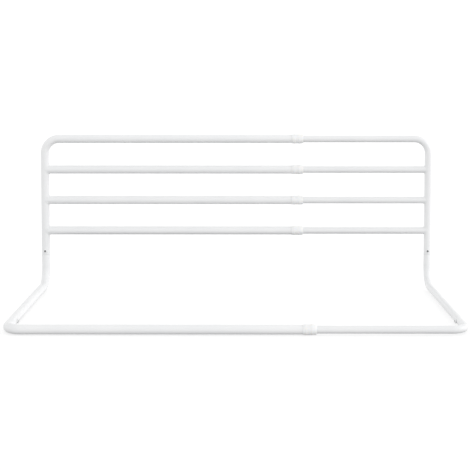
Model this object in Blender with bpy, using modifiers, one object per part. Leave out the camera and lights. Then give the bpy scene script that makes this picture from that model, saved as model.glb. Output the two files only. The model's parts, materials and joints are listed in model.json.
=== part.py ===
"""Width-adjustable bed guard rail: a powder-coated tubular fence on an under-mattress base.

The left half is made of larger tubes. The right half's smaller tubes telescope into them along X,
each through a plastic sleeve on the larger tube's mouth, with a plastic glide on its inner end.
X runs along the fence, the base reaches forward along -Y, and Z is up. The origin is the middle of
the footprint.
"""
import math

import bmesh
import bpy
from mathutils import Matrix, Vector

# Overall layout
POST_SPACING = 1.040            # post axis to post axis
BASE_REACH = 0.525              # fence plane to the front bar's axis
RAIL_PITCH = 0.0833             # one fence rail to the next
TOP_RAIL_RISE = 0.396           # base axis to top rail axis
SEAM_RISE = 0.081               # base axis to the joint in each post
LEG_SEAM_REACH = 0.431          # fence plane to the joint in each leg
FENCE_BEND = 0.038              # centreline radii of the bends
LEG_BEND = 0.045
FRONT_BEND = 0.034
BEND_STEPS = 6

# Tubes: radius of the outside, and the wall
LARGE_RADIUS = 0.0110
SMALL_RADIUS = 0.0090
WALL = 0.0012
GAP = 0.0003                    # between pieces that touch
SIDES = 16
NECK_LENGTH = 0.038             # reduced end that plugs into the next tube
SHOULDER_LENGTH = 0.002
OVERRUN = 0.002                 # how far a bore cutter runs past the tube's end

# Sliding fit, with places along X measured from midway between the posts
SLEEVE_PLACE = 0.150            # rear end of every sleeve
SLEEVE_LENGTH = 0.031
SLEEVE_STEP = 0.022             # depth of the sleeve that covers the large tube
SLEEVE_RADIUS = 0.0120
RIB_RADIUS = 0.0126
RIB_HALF_WIDTH = 0.0015
RIB_SLOPE = 0.001
RIB_PLACES = (0.0070, 0.0200)
SLEEVE_NOSE = 0.0065            # length of the tapered nose
NOSE_RADIUS = 0.0101
SLEEVE_EDGE = 0.0007
INNER_END_PLACE = -0.170        # inner end of every small tube
GLIDE_LENGTH = 0.006
GLIDE_SHANK = 0.015
GLIDE_HOLE = 0.0052

# Screws (M6 button heads) and their nuts
SCREW_SETBACK = 0.0100          # post joint to screw
LEG_SCREW_SETBACK = 0.0120      # leg joint to screw
SHANK_RADIUS = 0.0027
SCREW_LENGTH = 0.0120
HEAD_RADIUS = 0.00525
HEAD_HEIGHT = 0.0033
HEAD_RIM = 0.0008
SOCKET_FLATS = 0.0040
SOCKET_DEPTH = 0.0020
HOLE_RADIUS = 0.0033
NUT_FLATS = 0.0100
NUT_HEIGHT = 0.0050
NUT_BORE = 0.0030
ROUND_STEPS = 16
DOME_STEPS = 4

# The widest ring of the base sleeve is the lowest point, so it sets the base's height.
BASE_Z = RIB_RADIUS
TOP_Z = BASE_Z + TOP_RAIL_RISE
SEAM_Z = BASE_Z + SEAM_RISE
FENCE_Y = BASE_REACH / 2
FRONT_Y = -BASE_REACH / 2
LEG_SEAM_Y = FENCE_Y - LEG_SEAM_REACH
CENTRE_X = (LARGE_RADIUS - SMALL_RADIUS) / 2    # midway between the posts, past the footprint's middle
SLEEVE_X = CENTRE_X + SLEEVE_PLACE
COVERED = SLEEVE_STEP - GAP             # length of large tube inside its sleeve
INNER_END_X = CENTRE_X + INNER_END_PLACE
LEVELS = {"upper": TOP_Z - RAIL_PITCH, "middle": TOP_Z - 2 * RAIL_PITCH, "lower": TOP_Z - 3 * RAIL_PITCH}
FLAT = 1 / math.cos(math.pi / SIDES)    # a polygon this much larger has its flats on the circle

UP = Vector((0, 0, 1))
FORWARD = Vector((0, -1, 0))
RIGHT = Vector((1, 0, 0))


def clear_scene():
    """Remove every object, and the collections that would clash by name."""
    for item in list(bpy.data.objects):
        bpy.data.objects.remove(item)
    for group in list(bpy.data.collections):
        bpy.data.collections.remove(group)


def new_collection(name):
    group = bpy.data.collections.new(name)
    bpy.context.scene.collection.children.link(group)
    return group


def make_material(name, colour, roughness, metallic):
    material = bpy.data.materials.new(name)
    material.use_nodes = True
    shader = material.node_tree.nodes["Principled BSDF"]
    shader.inputs["Base Color"].default_value = (*colour, 1)
    shader.inputs["Roughness"].default_value = roughness
    shader.inputs["Metallic"].default_value = metallic
    material.diffuse_color = (*colour, 1)
    return material


def add_object(name, mesh, location, material=None):
    """Link a part, or a cutter when there is no material."""
    item = bpy.data.objects.new(name, mesh)
    item.location = location
    if material is None:
        cutters.objects.link(item)
        item.hide_render = True
        item.display_type = "WIRE"
    else:
        part.objects.link(item)
        mesh.materials.clear()
        mesh.materials.append(material)
    return item


def cut(item, cutter):
    """Subtract a cutter from a part."""
    modifier = item.modifiers.new(cutter.name, "BOOLEAN")
    modifier.operation = "DIFFERENCE"
    modifier.solver = "EXACT"
    modifier.object = cutter


def finish_round(item):
    """Smooth the round faces and keep the edges crisp."""
    for face in item.data.polygons:
        face.use_smooth = True
    item.data.set_sharp_from_angle(angle=math.radians(40))


def rounded_path(corners, bend_radius):
    """Points along straight runs whose inner corners are replaced by arcs."""
    path = [corners[0]]
    for before, corner, after in zip(corners, corners[1:], corners[2:]):
        way_in = (corner - before).normalized()
        way_out = (after - corner).normalized()
        centre = corner - way_in * bend_radius + way_out * bend_radius
        for step in range(BEND_STEPS + 1):
            angle = math.pi / 2 * step / BEND_STEPS
            spoke = way_in * math.sin(angle) - way_out * math.cos(angle)
            path.append(centre + spoke * bend_radius)
    path.append(corners[-1])
    return path


def swept_mesh(stations, name):
    """A closed round bar through (point, radius) stations, with a flat facet on each main side."""
    curve = bpy.data.curves.new(name, "CURVE")
    curve.dimensions = "3D"
    curve.bevel_depth = 1.0
    curve.bevel_resolution = (SIDES - 4) // 2
    curve.use_fill_caps = True
    curve.render_resolution_u = 0
    spline = curve.splines.new("POLY")
    spline.points.add(len(stations) - 1)
    for point, (place, radius) in zip(spline.points, stations):
        point.co = (*place, 1)
        point.radius = radius * FLAT
        point.tilt = math.pi / SIDES
    sweep = bpy.data.objects.new(name, curve)
    cutters.objects.link(sweep)
    mesh = bpy.data.meshes.new_from_object(sweep.evaluated_get(bpy.context.evaluated_depsgraph_get()))
    bpy.data.objects.remove(sweep)
    bpy.data.curves.remove(curve)
    shell = bmesh.new()
    shell.from_mesh(mesh)
    bmesh.ops.remove_doubles(shell, verts=shell.verts, dist=1e-6)
    bmesh.ops.recalc_face_normals(shell, faces=shell.faces)
    shell.to_mesh(mesh)
    shell.free()
    return mesh


def tube_stations(corners, bend_radius, radius, neck_radius, necks):
    """Stations of a tube whose named ends are reduced to plug into the next tube."""
    path = rounded_path(corners, bend_radius)
    stations = [(place, radius) for place in path]
    if "start" in necks:
        inward = (path[1] - path[0]).normalized()
        reduced = [(path[0] - inward * NECK_LENGTH, neck_radius), (path[0] - inward * GAP, neck_radius)]
        stations = reduced + [(path[0] + inward * SHOULDER_LENGTH, radius)] + stations[1:]
    if "end" in necks:
        inward = (path[-2] - path[-1]).normalized()
        reduced = [(path[-1] - inward * GAP, neck_radius), (path[-1] - inward * NECK_LENGTH, neck_radius)]
        stations = stations[:-1] + [(path[-1] + inward * SHOULDER_LENGTH, radius)] + reduced
    return stations


def bore_stations(stations):
    """The stations of a tube's bore, run past both open ends."""
    inner = [(place, radius - WALL) for place, radius in stations]
    first = (inner[0][0] - inner[1][0]).normalized() * OVERRUN
    last = (inner[-1][0] - inner[-2][0]).normalized() * OVERRUN
    inner[0] = (inner[0][0] + first, inner[0][1])
    inner[-1] = (inner[-1][0] + last, inner[-1][1])
    return inner


def make_tube(name, corners, radius, bend_radius=0.0, necks=()):
    """A hollow bent tube whose origin is the start of its centreline."""
    origin = corners[0]
    local = [corner - origin for corner in corners]
    stations = tube_stations(local, bend_radius, radius, radius - WALL - GAP, necks)
    tube = add_object(name, swept_mesh(stations, name), origin, powder_coat)
    bore = add_object(name + "_bore", swept_mesh(bore_stations(stations), name + "_bore"), origin)
    cut(tube, bore)
    finish_round(tube)
    return tube


def turned(name, profile, place, axis, material, steps=SIDES):
    """A turned piece: (radius, height) points revolved about an axis that starts at a place.

    The profile runs down the outer side from the far end, then back along the bore or to the axis.
    """
    half_step = math.pi / steps
    grow = 1 / math.cos(half_step)
    mesh = bpy.data.meshes.new(name)
    outline = bmesh.new()
    around = Matrix.Rotation(half_step, 3, "Z")
    verts = [outline.verts.new(around @ Vector((radius * grow, 0, height))) for radius, height in profile]
    for start, end in zip(verts, verts[1:]):
        outline.edges.new((start, end))
    if profile[0][0] > 0:
        outline.edges.new((verts[-1], verts[0]))
    outline.to_mesh(mesh)
    outline.free()
    item = add_object(name, mesh, place, material)
    item.rotation_mode = "QUATERNION"
    item.rotation_quaternion = UP.rotation_difference(axis)
    screw = item.modifiers.new("turn", "SCREW")
    screw.axis = "Z"
    screw.steps = steps
    screw.render_steps = steps
    screw.use_merge_vertices = True
    screw.merge_threshold = 1e-6
    screw.use_smooth_shade = False
    return item


def prism(name, sides, across, height, place, axis, twist=0.0, material=None):
    """An upright prism centred on a place, with its axis turned to a direction."""
    mesh = bpy.data.meshes.new(name)
    solid = bmesh.new()
    radius = across / 2 / math.cos(math.pi / sides)
    bmesh.ops.create_cone(solid, cap_ends=True, segments=sides, radius1=radius, radius2=radius, depth=height)
    bmesh.ops.rotate(solid, verts=solid.verts, matrix=Matrix.Rotation(twist, 3, "Z"))
    solid.to_mesh(mesh)
    solid.free()
    item = add_object(name, mesh, place, material)
    item.rotation_mode = "QUATERNION"
    item.rotation_quaternion = UP.rotation_difference(axis)
    return item


def make_sleeve(name, y, z):
    """A moulded sleeve: it caps the large tube's end and guides the small tube, with two grip ribs."""
    profile = [(NOSE_RADIUS, SLEEVE_LENGTH), (SLEEVE_RADIUS, SLEEVE_LENGTH - SLEEVE_NOSE)]
    for middle in reversed(RIB_PLACES):
        foot = RIB_HALF_WIDTH + RIB_SLOPE
        profile.append((SLEEVE_RADIUS, middle + foot))
        profile.append((RIB_RADIUS, middle + RIB_HALF_WIDTH))
        profile.append((RIB_RADIUS, middle - RIB_HALF_WIDTH))
        profile.append((SLEEVE_RADIUS, middle - foot))
    bore = LARGE_RADIUS + GAP
    throat = SMALL_RADIUS + GAP
    profile.append((SLEEVE_RADIUS, SLEEVE_EDGE))
    profile.append((SLEEVE_RADIUS - SLEEVE_EDGE / 2, 0))
    profile += [(bore, 0), (bore, SLEEVE_STEP), (throat, SLEEVE_STEP), (throat, SLEEVE_LENGTH)]
    return turned(name, profile, Vector((SLEEVE_X, y, z)), RIGHT, sleeve_plastic)


def make_glide(name, y, z):
    """A moulded glide: a shank in the small tube's end and a head that slides in the large tube."""
    head = LARGE_RADIUS - WALL - GAP
    shank = SMALL_RADIUS - WALL - GAP
    top = GLIDE_LENGTH + GLIDE_SHANK
    profile = [(shank, top), (shank, GLIDE_LENGTH), (head, GLIDE_LENGTH), (head, 0), (GLIDE_HOLE, 0)]
    profile.append((GLIDE_HOLE, top))
    return turned(name, profile, Vector((INNER_END_X - GAP - GLIDE_LENGTH, y, z)), RIGHT, glide_plastic)


def make_screw(name, seat, outward):
    """A white button-head screw with a hex socket, seated on a tube and pointing into it."""
    dome = []
    for step in range(DOME_STEPS + 1):
        angle = math.pi / 2 * (1 - step / DOME_STEPS)
        rise = HEAD_HEIGHT - HEAD_RIM
        dome.append((HEAD_RADIUS * math.cos(angle), HEAD_RIM + rise * math.sin(angle)))
    dome[0] = (0.0, HEAD_HEIGHT)
    shank = [(SHANK_RADIUS, 0), (SHANK_RADIUS, -SCREW_LENGTH), (0.0, -SCREW_LENGTH)]
    profile = dome + [(HEAD_RADIUS, 0)] + shank
    screw = turned(name, profile, seat + outward * GAP, outward, screw_paint, ROUND_STEPS)
    middle = seat + outward * (GAP + HEAD_HEIGHT)
    socket = prism(name + "_socket", 6, SOCKET_FLATS, 2 * SOCKET_DEPTH, middle, outward)
    cut(screw, socket)
    return screw


def make_nut(name, tube_axis, outward, bore_radius):
    """A weld nut inside a neck, two flats along the tube and its face close under the neck's wall."""
    reach = math.sqrt(bore_radius ** 2 - (NUT_FLATS / 2) ** 2) - GAP
    middle = tube_axis + outward * (reach - NUT_HEIGHT / 2)
    nut = prism(name, 6, NUT_FLATS, NUT_HEIGHT, middle, outward, material=zinc_steel)
    hole = prism(name + "_bore", ROUND_STEPS, 2 * NUT_BORE, 2 * NUT_HEIGHT, middle, outward)
    cut(nut, hole)
    return nut


def fasten(name, place, outward, tube_radius, socket_tube, neck_tube):
    """Drill a joint, and give it its screw and nut."""
    drill_depth = tube_radius + OVERRUN
    middle = place + outward * drill_depth / 2
    drill = prism(name + "_drill", ROUND_STEPS, 2 * HOLE_RADIUS, drill_depth, middle, outward)
    cut(socket_tube, drill)
    cut(neck_tube, drill)
    screw = make_screw(name + "_screw", place + outward * tube_radius, outward)
    neck_bore = tube_radius - WALL - GAP - WALL
    nut = make_nut(name + "_nut", place, outward, neck_bore)
    return [screw, nut]


def make_half(side, sign, radius, end_x):
    """One half of the rail: post with top rail, three cross rails, leg and base bar, with fasteners."""
    x = CENTRE_X + sign * POST_SPACING / 2
    inward = RIGHT * -sign
    post_seam = Vector((x, FENCE_Y, SEAM_Z))
    post_top = Vector((x, FENCE_Y, TOP_Z))
    post_foot = Vector((x, FENCE_Y, BASE_Z))
    leg_seam = Vector((x, LEG_SEAM_Y, BASE_Z))
    front_corner = Vector((x, FRONT_Y, BASE_Z))
    top_end = Vector((end_x, FENCE_Y, TOP_Z))
    base_end = Vector((end_x, FRONT_Y, BASE_Z))

    frame = make_tube(f"{side}_post_and_top_rail", [post_seam, post_top, top_end], radius, FENCE_BEND)
    leg = make_tube(f"{side}_leg", [post_seam, post_foot, leg_seam], radius, LEG_BEND, ("start", "end"))
    bar = make_tube(f"{side}_base_bar", [leg_seam, front_corner, base_end], radius, FRONT_BEND)
    pieces = [frame, leg, bar]

    post_middle = (post_seam + post_top) / 2
    cope = prism(f"{side}_cope", SIDES, 2 * (radius + GAP), TOP_Z - SEAM_Z, post_middle, UP, math.pi / SIDES)
    for level, z in LEVELS.items():
        ends = [Vector((x, FENCE_Y, z)), Vector((end_x, FENCE_Y, z))]
        rail = make_tube(f"{side}_rail_{level}", ends, radius)
        cut(rail, cope)
        pieces.append(rail)

    post_screw = post_seam + UP * SCREW_SETBACK
    leg_screw = leg_seam + FORWARD * LEG_SCREW_SETBACK
    pieces += fasten(f"{side}_post", post_screw, FORWARD, radius, frame, leg)
    pieces += fasten(f"{side}_leg", leg_screw, inward, radius, bar, leg)
    return pieces


def carry(name, place, pieces):
    """Hang a body's pieces on an empty, leaving them where they are."""
    carrier = bpy.data.objects.new(name, None)
    carrier.location = place
    part.objects.link(carrier)
    bpy.context.view_layer.update()
    for piece in pieces:
        piece.parent = carrier
        piece.matrix_parent_inverse = carrier.matrix_world.inverted()


clear_scene()
part = new_collection("bed_guard_rail")
cutters = new_collection("cutters")
cutters.hide_render = True
powder_coat = make_material("powder_coat", (0.86, 0.87, 0.88), 0.38, 0.0)
sleeve_plastic = make_material("sleeve_plastic", (0.90, 0.90, 0.90), 0.45, 0.0)
glide_plastic = make_material("glide_plastic", (0.30, 0.31, 0.32), 0.50, 0.0)
screw_paint = make_material("screw_paint", (0.84, 0.85, 0.86), 0.32, 0.0)
zinc_steel = make_material("zinc_steel", (0.62, 0.63, 0.65), 0.32, 1.0)

left_half = make_half("left", -1, LARGE_RADIUS, SLEEVE_X + COVERED)
right_half = make_half("right", 1, SMALL_RADIUS, INNER_END_X)
fence_lines = {"top": TOP_Z, **LEVELS}
sliding_lines = {line: (FENCE_Y, line_z) for line, line_z in fence_lines.items()}
sliding_lines["base"] = (FRONT_Y, BASE_Z)
for line, (line_y, line_z) in sliding_lines.items():
    left_half.append(make_sleeve(f"sleeve_{line}", line_y, line_z))
    right_half.append(make_glide(f"glide_{line}", line_y, line_z))
carry("left_half", Vector((SLEEVE_X, FENCE_Y, TOP_Z)), left_half)
carry("right_half", Vector((INNER_END_X, FENCE_Y, TOP_Z)), right_half)
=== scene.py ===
"""Looks of the width-adjustable bed guard rail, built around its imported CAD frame.

Every tube, sleeve and screw is remade as a smooth, detailed piece in the place of its CAD node, and
weld beads close the joints between the cross rails and the posts.
"""
import json
import math

import bmesh
import bpy
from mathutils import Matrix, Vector


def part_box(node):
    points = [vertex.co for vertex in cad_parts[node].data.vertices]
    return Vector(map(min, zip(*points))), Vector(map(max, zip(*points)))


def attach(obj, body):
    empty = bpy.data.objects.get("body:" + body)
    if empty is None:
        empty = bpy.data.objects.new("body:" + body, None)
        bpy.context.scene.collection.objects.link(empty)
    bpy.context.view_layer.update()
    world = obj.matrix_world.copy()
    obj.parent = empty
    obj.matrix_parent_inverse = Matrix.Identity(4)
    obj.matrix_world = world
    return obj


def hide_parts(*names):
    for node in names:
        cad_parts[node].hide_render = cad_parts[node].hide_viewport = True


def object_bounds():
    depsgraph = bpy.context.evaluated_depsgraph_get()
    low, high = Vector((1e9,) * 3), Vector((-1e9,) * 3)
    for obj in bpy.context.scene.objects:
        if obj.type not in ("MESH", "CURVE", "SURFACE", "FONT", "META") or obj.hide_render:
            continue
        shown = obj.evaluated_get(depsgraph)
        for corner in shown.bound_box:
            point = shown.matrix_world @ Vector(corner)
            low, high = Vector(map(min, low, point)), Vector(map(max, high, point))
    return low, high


# Tubes, in metres
SIDES = 48
BEND_STEPS = 20
SHARP_ANGLE = math.radians(50)  # edges that turn further than this stay crisp
FENCE_BEND = 0.038
LEG_BEND = 0.045
FRONT_BEND = 0.034
WALL = 0.0012
FIT_GAP = 0.0003
LIP = 0.0004                    # rounding of a cut tube's edge, and under a screw's head
LIP_STEPS = 3
NECK_LENGTH = 0.038             # reduced end that plugs into the next tube
SHOULDER = 0.0020               # slope between a tube and its reduced neck
SHOULDER_STEPS = 5
HOLE_RADIUS = 0.0033
HOLE_MARGIN = 0.0060            # from a screw hole's centre to the tube's rings on both sides of it
COPE_MARGIN = 0.0020            # from the post's side to a rail's first whole ring
BEAD_CROWN = 0.0016             # weld bead's radius above and below a rail
BEAD_FLANK = 0.0009             # and on its sides, where the two tubes run level
BEAD_RIPPLES = 26
BEAD_RIPPLE_DEPTH = 0.10
BEAD_POINTS = 156
BEAD_SIDES = 10

# Sleeves and glides
TURNED_SIDES = 72
SLEEVE_STEP = 0.022             # depth that covers the large tube
SLEEVE_RADIUS = 0.0120
RIB_HEIGHT = 0.0006
RIB_HALF_WIDTH = 0.0034
RIB_PLACES = (0.0070, 0.0200)
RIB_STEPS = 10
NOSE_LENGTH = 0.0070
NOSE_STEPS = 8
SLEEVE_EDGE = 0.0005
EDGE_MIDDLE = 0.3               # where a rounding's middle point lies, as a share of its size
FLASH_HEIGHT = 0.00007          # moulding line along the top and bottom of a sleeve
GLIDE_LENGTH = 0.006
GLIDE_HOLE = 0.0052
GLIDE_GROOVE = 0.0006

# Screws
HEAD_RADIUS = 0.00525
HEAD_HEIGHT = 0.0033
HEAD_RIM = 0.0009
DOME_STEPS = 8
SOCKET_FLATS = 0.0040
SOCKET_DEPTH = 0.0021
SOCKET_CHAMFER = 0.00025
SOCKET_MOUTH = SOCKET_FLATS / 2 / math.cos(math.pi / 6) + SOCKET_CHAMFER
THREAD_RADIUS = 0.0027
THREAD_DEPTH = 0.00035
THREAD_PITCH = 0.0010

# Studio and camera
KEY_POWER = 300
KEY_SIZE = 9.0
KEY_PLACE = Vector((13.0, -1.0, 4.8))
TARGET = Vector((0, 0, 0.2))
FLOOR_HALF = 60.0
FLOOR_TONE = (0.40, 0.40, 0.40)
FLOOR_ROUGHNESS = 0.9
FLOOR_GLOW = 0.64
SKY_NADIR = 0.02                # brightness straight down
SKY_LEVELS = ((0.28, 0.82), (0.42, 1.16), (0.54, 1.14), (0.70, 1.04))   # (height, brightness) in between
SKY_ZENITH = 0.87               # brightness straight up
SKY_LEFT = 0.90                 # what the brightness is multiplied by on each side
SKY_RIGHT = 1.06
CAMERA_PLACE = Vector((0.0038, -2.6539, 0.5961))
CAMERA_PITCH = math.radians(3.79)
CAMERA_YAW = math.radians(-0.13)
CAMERA_LENS = 82.55
CAMERA_SHIFT = -0.20

# Materials
NOISE_LOW = 0.35                # most of a noise's values lie between these
NOISE_HIGH = 0.65

X_AXIS = Vector((1, 0, 0))
Y_AXIS = Vector((0, 1, 0))
Z_AXIS = Vector((0, 0, 1))

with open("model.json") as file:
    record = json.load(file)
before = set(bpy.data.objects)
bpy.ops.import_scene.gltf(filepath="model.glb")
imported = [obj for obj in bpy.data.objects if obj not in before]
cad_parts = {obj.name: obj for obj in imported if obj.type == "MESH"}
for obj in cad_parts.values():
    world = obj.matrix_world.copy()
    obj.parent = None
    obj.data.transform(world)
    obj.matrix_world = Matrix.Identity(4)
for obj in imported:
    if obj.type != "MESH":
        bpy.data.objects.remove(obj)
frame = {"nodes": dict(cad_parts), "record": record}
cad_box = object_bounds()
body_of = {node: body for body, nodes in frame["record"]["behaviour"]["bodies"].items() for node in nodes}


# ---------------------------------------------------------------- materials

def new_material(name, colour, roughness):
    """A Principled material and its shader."""
    material = bpy.data.materials.new(name)
    material.use_nodes = True
    shader = material.node_tree.nodes["Principled BSDF"]
    shader.inputs["Base Color"].default_value = (*colour, 1)
    shader.inputs["Roughness"].default_value = roughness
    return material, shader


def add_noise(material, scale, detail, roughness=0.5):
    """Noise fixed to the object's own space, with a scale in waves per metre."""
    nodes = material.node_tree.nodes
    place = nodes.new("ShaderNodeTexCoord")
    noise = nodes.new("ShaderNodeTexNoise")
    noise.inputs["Scale"].default_value = scale
    noise.inputs["Detail"].default_value = detail
    noise.inputs["Roughness"].default_value = roughness
    material.node_tree.links.new(place.outputs["Object"], noise.inputs["Vector"])
    return noise


def vary_colour(material, shader, noise, low, high):
    """Paint the base colour between two close tones."""
    ramp = material.node_tree.nodes.new("ShaderNodeValToRGB")
    ramp.color_ramp.elements[0].position = NOISE_LOW
    ramp.color_ramp.elements[1].position = NOISE_HIGH
    ramp.color_ramp.elements[0].color = (*low, 1)
    ramp.color_ramp.elements[1].color = (*high, 1)
    material.node_tree.links.new(noise.outputs["Fac"], ramp.inputs["Fac"])
    material.node_tree.links.new(ramp.outputs["Color"], shader.inputs["Base Color"])


def vary_roughness(material, shader, noise, low, high):
    """Let the gloss wander between two values."""
    spread = material.node_tree.nodes.new("ShaderNodeMapRange")
    spread.inputs["To Min"].default_value = low
    spread.inputs["To Max"].default_value = high
    material.node_tree.links.new(noise.outputs["Fac"], spread.inputs["Value"])
    material.node_tree.links.new(spread.outputs["Result"], shader.inputs["Roughness"])


def add_bump(material, shader, noise, depth, strength, before=None):
    """Bump of a given depth in metres, on top of an earlier bump if there is one."""
    bump = material.node_tree.nodes.new("ShaderNodeBump")
    bump.inputs["Distance"].default_value = depth
    bump.inputs["Strength"].default_value = strength
    material.node_tree.links.new(noise.outputs["Fac"], bump.inputs["Height"])
    if before is not None:
        material.node_tree.links.new(before.outputs["Normal"], bump.inputs["Normal"])
    material.node_tree.links.new(bump.outputs["Normal"], shader.inputs["Normal"])
    return bump


def powder_coat():
    """White polyester powder coat: soft gloss with a fine orange peel and a slow drift in film thickness."""
    material, shader = new_material("powder_coat", (0.86, 0.865, 0.87), 0.36)
    shader.inputs["IOR"].default_value = 1.5
    shader.inputs["Coat Weight"].default_value = 0.15
    shader.inputs["Coat Roughness"].default_value = 0.2
    drift = add_noise(material, scale=9, detail=3)
    vary_colour(material, shader, drift, (0.845, 0.852, 0.860), (0.872, 0.876, 0.880))
    peel = add_noise(material, scale=620, detail=2, roughness=0.45)
    vary_roughness(material, shader, peel, 0.31, 0.43)
    waves = add_bump(material, shader, peel, depth=0.00008, strength=0.5)
    grain = add_noise(material, scale=4200, detail=1)
    add_bump(material, shader, grain, depth=0.000012, strength=0.5, before=waves)
    return material


def sleeve_plastic():
    """White moulded polypropylene with a spark-eroded satin skin, a little translucent."""
    material, shader = new_material("sleeve_plastic", (0.92, 0.92, 0.916), 0.42)
    shader.inputs["IOR"].default_value = 1.49
    shader.inputs["Subsurface Weight"].default_value = 0.25
    shader.inputs["Subsurface Radius"].default_value = (1.0, 0.9, 0.8)
    shader.inputs["Subsurface Scale"].default_value = 0.0012
    flow = add_noise(material, scale=60, detail=4)
    vary_colour(material, shader, flow, (0.908, 0.909, 0.905), (0.930, 0.930, 0.927))
    skin = add_noise(material, scale=2600, detail=3, roughness=0.6)
    vary_roughness(material, shader, skin, 0.36, 0.50)
    add_bump(material, shader, skin, depth=0.00003, strength=0.6)
    return material


def glide_plastic():
    """Grey nylon, scuffed by the tube that it slides in."""
    material, shader = new_material("glide_plastic", (0.30, 0.31, 0.32), 0.5)
    mould = add_noise(material, scale=300, detail=3)
    vary_colour(material, shader, mould, (0.27, 0.28, 0.29), (0.34, 0.35, 0.36))
    rub = add_noise(material, scale=1800, detail=2)
    vary_roughness(material, shader, rub, 0.38, 0.60)
    add_bump(material, shader, rub, depth=0.00003, strength=0.5)
    return material


def screw_paint():
    """White enamel on the screws' heads."""
    material, shader = new_material("screw_paint", (0.84, 0.845, 0.85), 0.3)
    film = add_noise(material, scale=900, detail=2)
    vary_colour(material, shader, film, (0.82, 0.825, 0.83), (0.86, 0.865, 0.87))
    vary_roughness(material, shader, film, 0.26, 0.38)
    add_bump(material, shader, film, depth=0.00002, strength=0.4)
    return material


def socket_steel_and_shade():
    """Dark steel inside the screws' sockets: bare steel where the paint doesn't reach, made darker as painted
    shade for the recess.
    """
    material, shader = new_material("socket_steel_and_shade", (0.17, 0.17, 0.18), 0.5)
    shader.inputs["Metallic"].default_value = 0.8
    oxide = add_noise(material, scale=1500, detail=3)
    vary_colour(material, shader, oxide, (0.12, 0.12, 0.125), (0.22, 0.22, 0.23))
    vary_roughness(material, shader, oxide, 0.4, 0.65)
    return material


def zinc_steel():
    """Bright zinc plating, with the faint spangle and haze of a plated nut."""
    material, shader = new_material("zinc_steel", (0.62, 0.63, 0.65), 0.32)
    shader.inputs["Metallic"].default_value = 1.0
    spangle = add_noise(material, scale=700, detail=4)
    vary_colour(material, shader, spangle, (0.52, 0.53, 0.56), (0.70, 0.71, 0.72))
    vary_roughness(material, shader, spangle, 0.24, 0.45)
    add_bump(material, shader, spangle, depth=0.00002, strength=0.4)
    return material


finishes = {
    "powder_coat": powder_coat(),
    "sleeve_plastic": sleeve_plastic(),
    "glide_plastic": glide_plastic(),
    "screw_paint": screw_paint(),
    "zinc_steel": zinc_steel(),
}
# Dark socket colour: bare steel plus painted shade for the screws' recesses.
shaded_socket_finish = socket_steel_and_shade()


# ---------------------------------------------------------------- mesh building

def add_object(name, data):
    """A new object in the scene."""
    item = bpy.data.objects.new(name, data)
    bpy.context.scene.collection.objects.link(item)
    return item


def add_piece(name, mesh, slot_name, node, stands_in=True):
    """Put a finished mesh in the scene, on a CAD node's body and by default in that node's place."""
    piece = add_object(name, mesh)
    if not mesh.materials:
        mesh.materials.append(finishes[slot_name])
    mesh.shade_smooth()
    mesh.set_sharp_from_angle(angle=SHARP_ANGLE)
    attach(piece, body_of[node])
    if stands_in:
        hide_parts(node)


def finished_mesh(name, work):
    """The mesh of a bmesh, which is freed."""
    mesh = bpy.data.meshes.new(name)
    work.to_mesh(mesh)
    work.free()
    return mesh


def mesh_from_rings(name, rings, closed):
    """Quads between successive rings of points.

    A closed piece joins its last ring to its first. An open one has a face across each of its end rings.
    """
    work = bmesh.new()
    loops = [[work.verts.new(point) for point in ring] for ring in rings]
    pairs = list(zip(loops, loops[1:]))
    if closed:
        pairs.append((loops[-1], loops[0]))
    for before, after in pairs:
        count = len(before)
        for i in range(count):
            j = (i + 1) % count
            work.faces.new((before[i], before[j], after[j], after[i]))
    if not closed:
        work.faces.new(reversed(loops[0]))
        work.faces.new(loops[-1])
    bmesh.ops.recalc_face_normals(work, faces=work.faces)
    return finished_mesh(name, work)


def bend_path(corners, bend_radius):
    """A centreline's points and directions: straight runs with an arc at each inner corner."""
    path = [(corners[0], (corners[1] - corners[0]).normalized())]
    for before, corner, after in zip(corners, corners[1:], corners[2:]):
        way_in = (corner - before).normalized()
        way_out = (after - corner).normalized()
        centre = corner - way_in * bend_radius + way_out * bend_radius
        for step in range(BEND_STEPS + 1):
            angle = math.pi / 2 * step / BEND_STEPS
            spoke = way_in * math.sin(angle) - way_out * math.cos(angle)
            path.append((centre + spoke * bend_radius, way_in * math.cos(angle) + way_out * math.sin(angle)))
    path.append((corners[-1], (corners[-1] - corners[-2]).normalized()))
    return path


def circle(place, along, side, radius, count=SIDES):
    """Points round a centreline, starting in the side direction, which is at right angles to it."""
    other = along.cross(side).normalized()
    turns = (2 * math.pi * i / count for i in range(count))
    return [place + side * radius * math.cos(turn) + other * radius * math.sin(turn) for turn in turns]


def rounded_end(station, inward):
    """The rounded edge of a cut tube, from the end face inwards."""
    place, along, radius = station
    arc = [math.pi / 2 * step / LIP_STEPS for step in range(LIP_STEPS + 1)]
    return [(place + inward * LIP * (1 - math.cos(a)), along, radius - LIP * (1 - math.sin(a))) for a in arc]


def reduced_end(seam, along, inward, radius):
    """A neck and its slope up to the tube, from the neck's tip inwards."""
    neck_radius = radius - WALL - FIT_GAP
    found = [(seam - inward * NECK_LENGTH, along, neck_radius), (seam - inward * FIT_GAP, along, neck_radius)]
    for step in range(1, SHOULDER_STEPS + 1):
        share = step / SHOULDER_STEPS
        swell = (1 - math.cos(math.pi * share)) / 2
        found.append((seam + inward * SHOULDER * share, along, neck_radius + (radius - neck_radius) * swell))
    return found


def tube_stations(corners, bend_radius, radius, necks, marks):
    """(place, direction, radius) along a tube.

    necks names the ends that are reduced. marks are distances from the start that get a ring of their own.
    """
    path = bend_path(corners, bend_radius)
    (start, onward), (end, last) = path[0], path[-1]
    head = reduced_end(start, onward, onward, radius) if "start" in necks else [(start, onward, radius)]
    tail = reduced_end(end, last, -last, radius) if "end" in necks else [(end, last, radius)]
    middle = [(start + onward * mark, onward, radius) for mark in marks]
    middle += [(place, along, radius) for place, along in path[1:-1]]
    return head + middle + tail[::-1]


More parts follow.
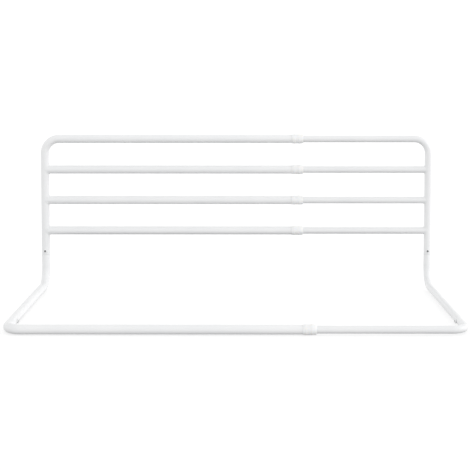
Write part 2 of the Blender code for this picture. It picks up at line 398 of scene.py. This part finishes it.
def shape_to_post(ring, axis_point, onward, post_radius):
    """Move a ring's points along the rail onto the round side of the post that it is welded to."""
    reaches = [math.sqrt(post_radius ** 2 - (point.y - axis_point.y) ** 2) for point in ring]
    places = [axis_point.x + onward.x * reach for reach in reaches]
    return [Vector((place, point.y, point.z)) for point, place in zip(ring, places)]


def pipe_mesh(name, stations, side, post_radius=None):
    """A hollow tube as one closed mesh: outside, rounded ends and bore.

    With a post_radius, the start isn't rounded but coped to the post.
    """
    (start, onward, _), (_, last, _) = stations[0], stations[-1]
    near_end = stations[:1] if post_radius else rounded_end(stations[0], onward)
    far_end = rounded_end(stations[-1], -last)[::-1]
    outside = near_end + stations[1:-1] + far_end
    outer = [circle(place, along, side, radius) for place, along, radius in outside]
    inner = [circle(place, along, side, radius - WALL) for place, along, radius in stations]
    if post_radius:
        outer[0] = shape_to_post(outer[0], start, onward, post_radius)
        inner[0] = shape_to_post(inner[0], start, onward, post_radius)
    return mesh_from_rings(name, outer + inner[::-1], closed=True)


def perpendicular(direction):
    """A main axis at right angles to a direction that is itself along a main axis."""
    return Z_AXIS if abs(direction.z) < 0.5 else X_AXIS


def drill(mesh, axis_point, outward, depth):
    """The tube's mesh with a screw hole cut from its axis out through one wall."""
    side = perpendicular(outward)
    rings = [circle(axis_point + outward * reach, outward, side, HOLE_RADIUS) for reach in (0, depth)]
    drill_bit = add_object("drill_bit", mesh_from_rings("drill_bit", rings, closed=False))
    blank = add_object("blank", mesh)
    cut = blank.modifiers.new("hole", "BOOLEAN")
    cut.operation = "DIFFERENCE"
    cut.solver = "EXACT"
    cut.object = drill_bit
    drilled = bpy.data.meshes.new_from_object(blank.evaluated_get(bpy.context.evaluated_depsgraph_get()))
    drilled.name = mesh.name
    bpy.data.objects.remove(drill_bit)
    bpy.data.objects.remove(blank)
    return drilled


def weld_bead_mesh(name, axis_point, onward, post_radius, rail_radius):
    """A fillet of weld round the end of a rail: a closed bead with the ripple of its passes."""
    centres = []
    sizes = []
    for i in range(BEAD_POINTS):
        turn = 2 * math.pi * i / BEAD_POINTS
        sideways = rail_radius * math.sin(turn)
        reach = math.sqrt(post_radius ** 2 - sideways ** 2)
        offset = Vector((onward.x * reach, sideways, rail_radius * math.cos(turn)))
        centres.append(axis_point + offset)
        ripple = 1 + BEAD_RIPPLE_DEPTH * math.sin(BEAD_RIPPLES * turn)
        sizes.append((BEAD_FLANK + (BEAD_CROWN - BEAD_FLANK) * math.cos(turn) ** 2) * ripple)
    rings = []
    for i, (centre, size) in enumerate(zip(centres, sizes)):
        along = (centres[(i + 1) % BEAD_POINTS] - centres[i - 1]).normalized()
        outward = centre - axis_point
        side = (outward - along * outward.dot(along)).normalized()
        rings.append(circle(centre, along, side, size, BEAD_SIDES))
    return mesh_from_rings(name, rings, closed=True)


def turned_mesh(name, profile, place, axis, flash=0.0):
    """A turned or moulded ring: (distance along the axis, radius) points as one closed loop.

    flash raises a fine moulding line along the top and bottom of the outside, but no further than the
    widest ring.
    """
    side = perpendicular(axis)
    middle = sum(radius for _, radius in profile) / len(profile)
    widest = max(radius for _, radius in profile)
    rings = []
    for distance, radius in profile:
        centre = place + axis * distance
        ring = circle(centre, axis, side, radius, TURNED_SIDES)
        if flash and radius > middle:
            for i in (0, TURNED_SIDES // 2):
                ring[i] = centre + (ring[i] - centre) * min(radius + flash, widest) / radius
        rings.append(ring)
    return mesh_from_rings(name, rings, closed=True)


# ---------------------------------------------------------------- sleeves, glides and screws

def sleeve_profile(length, bore, throat, nose):
    """A sleeve's section: outside from the rear edge to the nose, then back along the stepped bore."""
    rounding = SLEEVE_EDGE * EDGE_MIDDLE
    outside = [(0, SLEEVE_RADIUS - SLEEVE_EDGE), (rounding, SLEEVE_RADIUS - rounding)]
    outside.append((SLEEVE_EDGE, SLEEVE_RADIUS))
    for middle in RIB_PLACES:
        for step in range(RIB_STEPS + 1):
            share = 2 * step / RIB_STEPS - 1
            swell = RIB_HEIGHT * math.cos(math.pi / 2 * share) ** 2
            outside.append((middle + share * RIB_HALF_WIDTH, SLEEVE_RADIUS + swell))
    for step in range(NOSE_STEPS + 1):
        angle = math.pi / 2 * step / NOSE_STEPS
        drop = (SLEEVE_RADIUS - nose) * (1 - math.cos(angle))
        outside.append((length - NOSE_LENGTH * (1 - math.sin(angle)), SLEEVE_RADIUS - drop))
    inside = [(length, throat + FIT_GAP), (length - FIT_GAP, throat), (SLEEVE_STEP, throat)]
    inside += [(SLEEVE_STEP, bore), (0, bore)]
    return outside + inside


def make_sleeve(line):
    """A moulded collar on a large tube's mouth, with two grip rings and a tapered nose."""
    node = f"sleeve_{line}"
    low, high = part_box(node)
    middle = (low + high) / 2
    bore = large_radius + FIT_GAP
    throat = small_radius + FIT_GAP
    nose = throat + 2 * SLEEVE_EDGE
    profile = sleeve_profile(high.x - low.x, bore, throat, nose)
    mesh = turned_mesh(node, profile, Vector((low.x, middle.y, middle.z)), X_AXIS, FLASH_HEIGHT)
    add_piece(f"telescoping_{node}", mesh, "sleeve_plastic", node)


def make_glide(line):
    """A moulded bush on a small tube's hidden end, with a grease groove round its head."""
    node = f"glide_{line}"
    low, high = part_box(node)
    middle = (low + high) / 2
    head_radius = (high.z - low.z) / 2
    shank = small_radius - WALL - FIT_GAP
    length = high.x - low.x
    edge = GLIDE_GROOVE / 2
    groove = GLIDE_LENGTH / 2
    profile = [(0, head_radius - edge), (edge, head_radius), (groove - GLIDE_GROOVE, head_radius)]
    profile += [(groove, head_radius - GLIDE_GROOVE), (groove + GLIDE_GROOVE, head_radius)]
    profile += [(GLIDE_LENGTH - edge, head_radius), (GLIDE_LENGTH, head_radius - edge), (GLIDE_LENGTH, shank)]
    profile += [(length - GLIDE_GROOVE, shank), (length, shank - GLIDE_GROOVE)]
    profile += [(length, GLIDE_HOLE), (0, GLIDE_HOLE)]
    mesh = turned_mesh(node, profile, Vector((low.x, middle.y, middle.z)), X_AXIS)
    add_piece(f"guide_{node}", mesh, "glide_plastic", node)


def hexagon(place, axis, side, flats):
    """Points round a hexagon, one for each point of a circle, with a flat in the side direction."""
    other = axis.cross(side).normalized()
    points = []
    for i in range(SIDES):
        turn = 2 * math.pi * i / SIDES
        from_flat = (turn + math.pi / 6) % (math.pi / 3) - math.pi / 6
        reach = flats / 2 / math.cos(from_flat)
        points.append(place + side * reach * math.cos(turn) + other * reach * math.sin(turn))
    return points


def screw_profile(seat, crown):
    """(distance, radius) points from a screw's tip to its socket: ridged shank, underside and dome."""
    profile = [(0, THREAD_RADIUS - 2 * THREAD_DEPTH)]
    distance = THREAD_PITCH / 2
    while distance < seat - THREAD_PITCH:
        profile += [(distance, THREAD_RADIUS), (distance + THREAD_PITCH / 2, THREAD_RADIUS - THREAD_DEPTH)]
        distance += THREAD_PITCH
    profile += [(seat, THREAD_RADIUS - THREAD_DEPTH), (seat, HEAD_RADIUS - LIP), (seat + LIP, HEAD_RADIUS)]
    for step in range(DOME_STEPS):
        angle = math.pi / 2 * step / DOME_STEPS
        radius = HEAD_RADIUS * math.cos(angle)
        if radius > SOCKET_MOUTH + SOCKET_CHAMFER:
            profile.append((seat + HEAD_RIM + (HEAD_HEIGHT - HEAD_RIM) * math.sin(angle), radius))
    profile.append((crown, SOCKET_MOUTH))
    return profile


def make_screw(node, outward):
    """A button-head screw: a ridged shank, a domed head with a rounded rim, and a chamfered hex socket."""
    low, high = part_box(node)
    middle = (low + high) / 2
    half_length = abs((high - low).dot(outward)) / 2
    tip = middle - outward * half_length
    head_top = 2 * half_length
    seat = head_top - HEAD_HEIGHT
    crown = seat + HEAD_RIM + (HEAD_HEIGHT - HEAD_RIM) * math.sqrt(1 - (SOCKET_MOUTH / HEAD_RADIUS) ** 2)
    socket_floor = head_top - SOCKET_DEPTH
    side = perpendicular(outward)
    rings = []
    for distance, radius in screw_profile(seat, crown):
        rings.append(circle(tip + outward * distance, outward, side, radius))
    rings.append(hexagon(tip + outward * (crown - SOCKET_CHAMFER), outward, side, SOCKET_FLATS))
    rings.append(hexagon(tip + outward * socket_floor, outward, side, SOCKET_FLATS))
    rings.append(circle(tip + outward * (socket_floor - FIT_GAP), outward, side, SOCKET_FLATS / 4))
    mesh = mesh_from_rings(node, rings, closed=False)
    mesh.materials.append(finishes["screw_paint"])
    mesh.materials.append(shaded_socket_finish)
    # Faces inside the socket get the dark steel colour, which also paints the shade in the recess.
    for face in mesh.polygons:
        height = (face.center - tip).dot(outward)
        off_axis = (face.center - tip - outward * height).length
        if off_axis < SOCKET_MOUTH and half_length < height < crown:
            face.material_index = 1
    add_piece(f"button_head_{node}", mesh, "screw_paint", node)


# ---------------------------------------------------------------- the two halves

def make_fasteners(side_name, inward):
    """The two screws of one half, and the plating of their nuts."""
    make_screw(f"{side_name}_post_screw", -Y_AXIS)
    make_screw(f"{side_name}_leg_screw", inward)
    for place in ("post", "leg"):
        nut = frame["nodes"][f"{side_name}_{place}_nut"]
        nut.data.materials.clear()
        nut.data.materials.append(finishes["zinc_steel"])


def make_half(side_name, sign):
    """The tubes of one half, with its weld beads and fasteners. sign is -1 on the left and 1 on the right."""
    frame_low, frame_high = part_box(f"{side_name}_post_and_top_rail")
    bar_low, bar_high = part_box(f"{side_name}_base_bar")
    radius = (frame_high.y - frame_low.y) / 2
    outer_x = frame_low.x if sign < 0 else frame_high.x
    post_x = outer_x - sign * radius
    fence_end = frame_high.x if sign < 0 else frame_low.x
    base_end = bar_high.x if sign < 0 else bar_low.x
    fence_y = (frame_low.y + frame_high.y) / 2
    front_y = bar_low.y + radius
    base_z = (bar_low.z + bar_high.z) / 2
    top_z = frame_high.z - radius
    post_seam = Vector((post_x, fence_y, frame_low.z))
    leg_seam = Vector((post_x, bar_high.y, base_z))
    inward = X_AXIS * -sign

    # Screw holes run from the tube's axis out through one wall.
    post_screw = sum(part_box(f"{side_name}_post_screw"), Vector()) / 2
    leg_screw = sum(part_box(f"{side_name}_leg_screw"), Vector()) / 2
    post_hole = Vector((post_x, fence_y, post_screw.z))
    leg_hole = Vector((post_x, leg_screw.y, base_z))
    front = (post_hole, -Y_AXIS)
    inner = (leg_hole, inward)
    post_marks = [post_screw.z - post_seam.z + step for step in (-HOLE_MARGIN, HOLE_MARGIN)]
    leg_marks = [leg_seam.y - leg_screw.y + step for step in (-HOLE_MARGIN, HOLE_MARGIN)]

    def tube(part_name, corners, bend, side, holes, necks=(), marks=()):
        """A bent tube with its holes. side is the direction at right angles to the plane of its bend."""
        node = f"{side_name}_{part_name}"
        mesh = pipe_mesh(node, tube_stations(corners, bend, radius, necks, marks), side)
        for place, outward in holes:
            mesh = drill(mesh, place, outward, 2 * radius)
        add_piece(f"smooth_{node}", mesh, "powder_coat", node)

    top_corner = Vector((post_x, fence_y, top_z))
    rail_mouth = Vector((fence_end, fence_y, top_z))
    tube("post_and_top_rail", [post_seam, top_corner, rail_mouth], FENCE_BEND, Y_AXIS, [front],
         marks=post_marks)
    foot = Vector((post_x, fence_y, base_z))
    tube("leg", [post_seam, foot, leg_seam], LEG_BEND, X_AXIS, [front, inner], necks=("start", "end"))
    front_corner = Vector((post_x, front_y, base_z))
    bar_mouth = Vector((base_end, front_y, base_z))
    tube("base_bar", [leg_seam, front_corner, bar_mouth], FRONT_BEND, Z_AXIS, [inner], marks=leg_marks)

    for level in ("upper", "middle", "lower"):
        node = f"{side_name}_rail_{level}"
        low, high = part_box(node)
        start = Vector((post_x, fence_y, (low.z + high.z) / 2))
        end = Vector((fence_end, fence_y, start.z))
        stations = tube_stations([start, end], 0, radius, necks=(), marks=[radius + COPE_MARGIN])
        mesh = pipe_mesh(node, stations, Y_AXIS, radius + FIT_GAP)
        add_piece(f"smooth_{node}", mesh, "powder_coat", node)
        bead = weld_bead_mesh(f"weld_{node}", start, inward, radius + FIT_GAP, radius)
        add_piece(f"weld_{node}", bead, "powder_coat", node, stands_in=False)

    make_fasteners(side_name, inward)


large_low, large_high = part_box("left_rail_upper")
small_low, small_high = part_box("right_rail_upper")
large_radius = (large_high.z - large_low.z) / 2
small_radius = (small_high.z - small_low.z) / 2

make_half("left", -1)
make_half("right", 1)
for line_name in ("top", "upper", "middle", "lower", "base"):
    make_sleeve(line_name)
    make_glide(line_name)


# ---------------------------------------------------------------- studio and camera

def make_floor():
    """A plain pale studio floor. It lights nothing: that light comes from the sky's lower half."""
    work = bmesh.new()
    bmesh.ops.create_grid(work, x_segments=1, y_segments=1, size=FLOOR_HALF)
    mesh = finished_mesh("floor", work)
    floor = add_object("floor", mesh)
    floor.location.z = cad_box[0].z - FIT_GAP
    material, shader = new_material("pale_floor", FLOOR_TONE, FLOOR_ROUGHNESS)
    shader.inputs["Emission Color"].default_value = (1, 1, 1, 1)
    shader.inputs["Emission Strength"].default_value = FLOOR_GLOW
    mesh.materials.append(material)
    floor.visible_diffuse = False
    floor.visible_glossy = False
    floor.visible_shadow = False


def make_sky():
    """A soft white studio dome, brightest round the horizon, and a little dimmer towards the left."""
    world = bpy.data.worlds.new("studio")
    world.use_nodes = True
    bpy.context.scene.world = world
    nodes = world.node_tree.nodes
    links = world.node_tree.links
    place = nodes.new("ShaderNodeTexCoord")
    split = nodes.new("ShaderNodeSeparateXYZ")
    spread = nodes.new("ShaderNodeMapRange")
    ramp = nodes.new("ShaderNodeValToRGB")
    spread.inputs["From Min"].default_value = -1
    links.new(place.outputs["Generated"], split.inputs["Vector"])
    links.new(split.outputs["Z"], spread.inputs["Value"])
    links.new(spread.outputs["Result"], ramp.inputs["Fac"])
    stops = ramp.color_ramp.elements
    stops[0].position = 0
    stops[0].color = (SKY_NADIR, SKY_NADIR, SKY_NADIR, 1)
    stops[1].position = 1
    stops[1].color = (SKY_ZENITH, SKY_ZENITH, SKY_ZENITH, 1)
    for position, level in SKY_LEVELS:
        stop = stops.new(position)
        stop.color = (level, level, level, 1)
    links.new(ramp.outputs["Color"], nodes["Background"].inputs["Color"])
    across = nodes.new("ShaderNodeMapRange")
    across.inputs["From Min"].default_value = -1
    across.inputs["To Min"].default_value = SKY_LEFT
    across.inputs["To Max"].default_value = SKY_RIGHT
    links.new(split.outputs["X"], across.inputs["Value"])
    links.new(across.outputs["Result"], nodes["Background"].inputs["Strength"])


def make_key_light():
    """One large soft disk, far off on the right, so that both halves get the same light."""
    light = bpy.data.lights.new("key", "AREA")
    light.shape = "DISK"
    light.size = KEY_SIZE
    light.energy = KEY_POWER
    lamp = add_object("key", light)
    lamp.location = KEY_PLACE
    lamp.rotation_mode = "QUATERNION"
    lamp.rotation_quaternion = (TARGET - KEY_PLACE).to_track_quat("-Z", "Y")


def make_camera():
    """A far view from the front, a little above the rail and nearly level, with the lens shifted down."""
    lens = bpy.data.cameras.new("camera")
    lens.lens = CAMERA_LENS
    lens.shift_y = CAMERA_SHIFT
    camera = add_object("camera", lens)
    camera.location = CAMERA_PLACE
    camera.rotation_euler = (math.pi / 2 - CAMERA_PITCH, 0, -CAMERA_YAW)
    bpy.context.scene.camera = camera


make_floor()
make_sky()
make_key_light()
make_camera()
bpy.context.scene.view_settings.view_transform = "Standard"
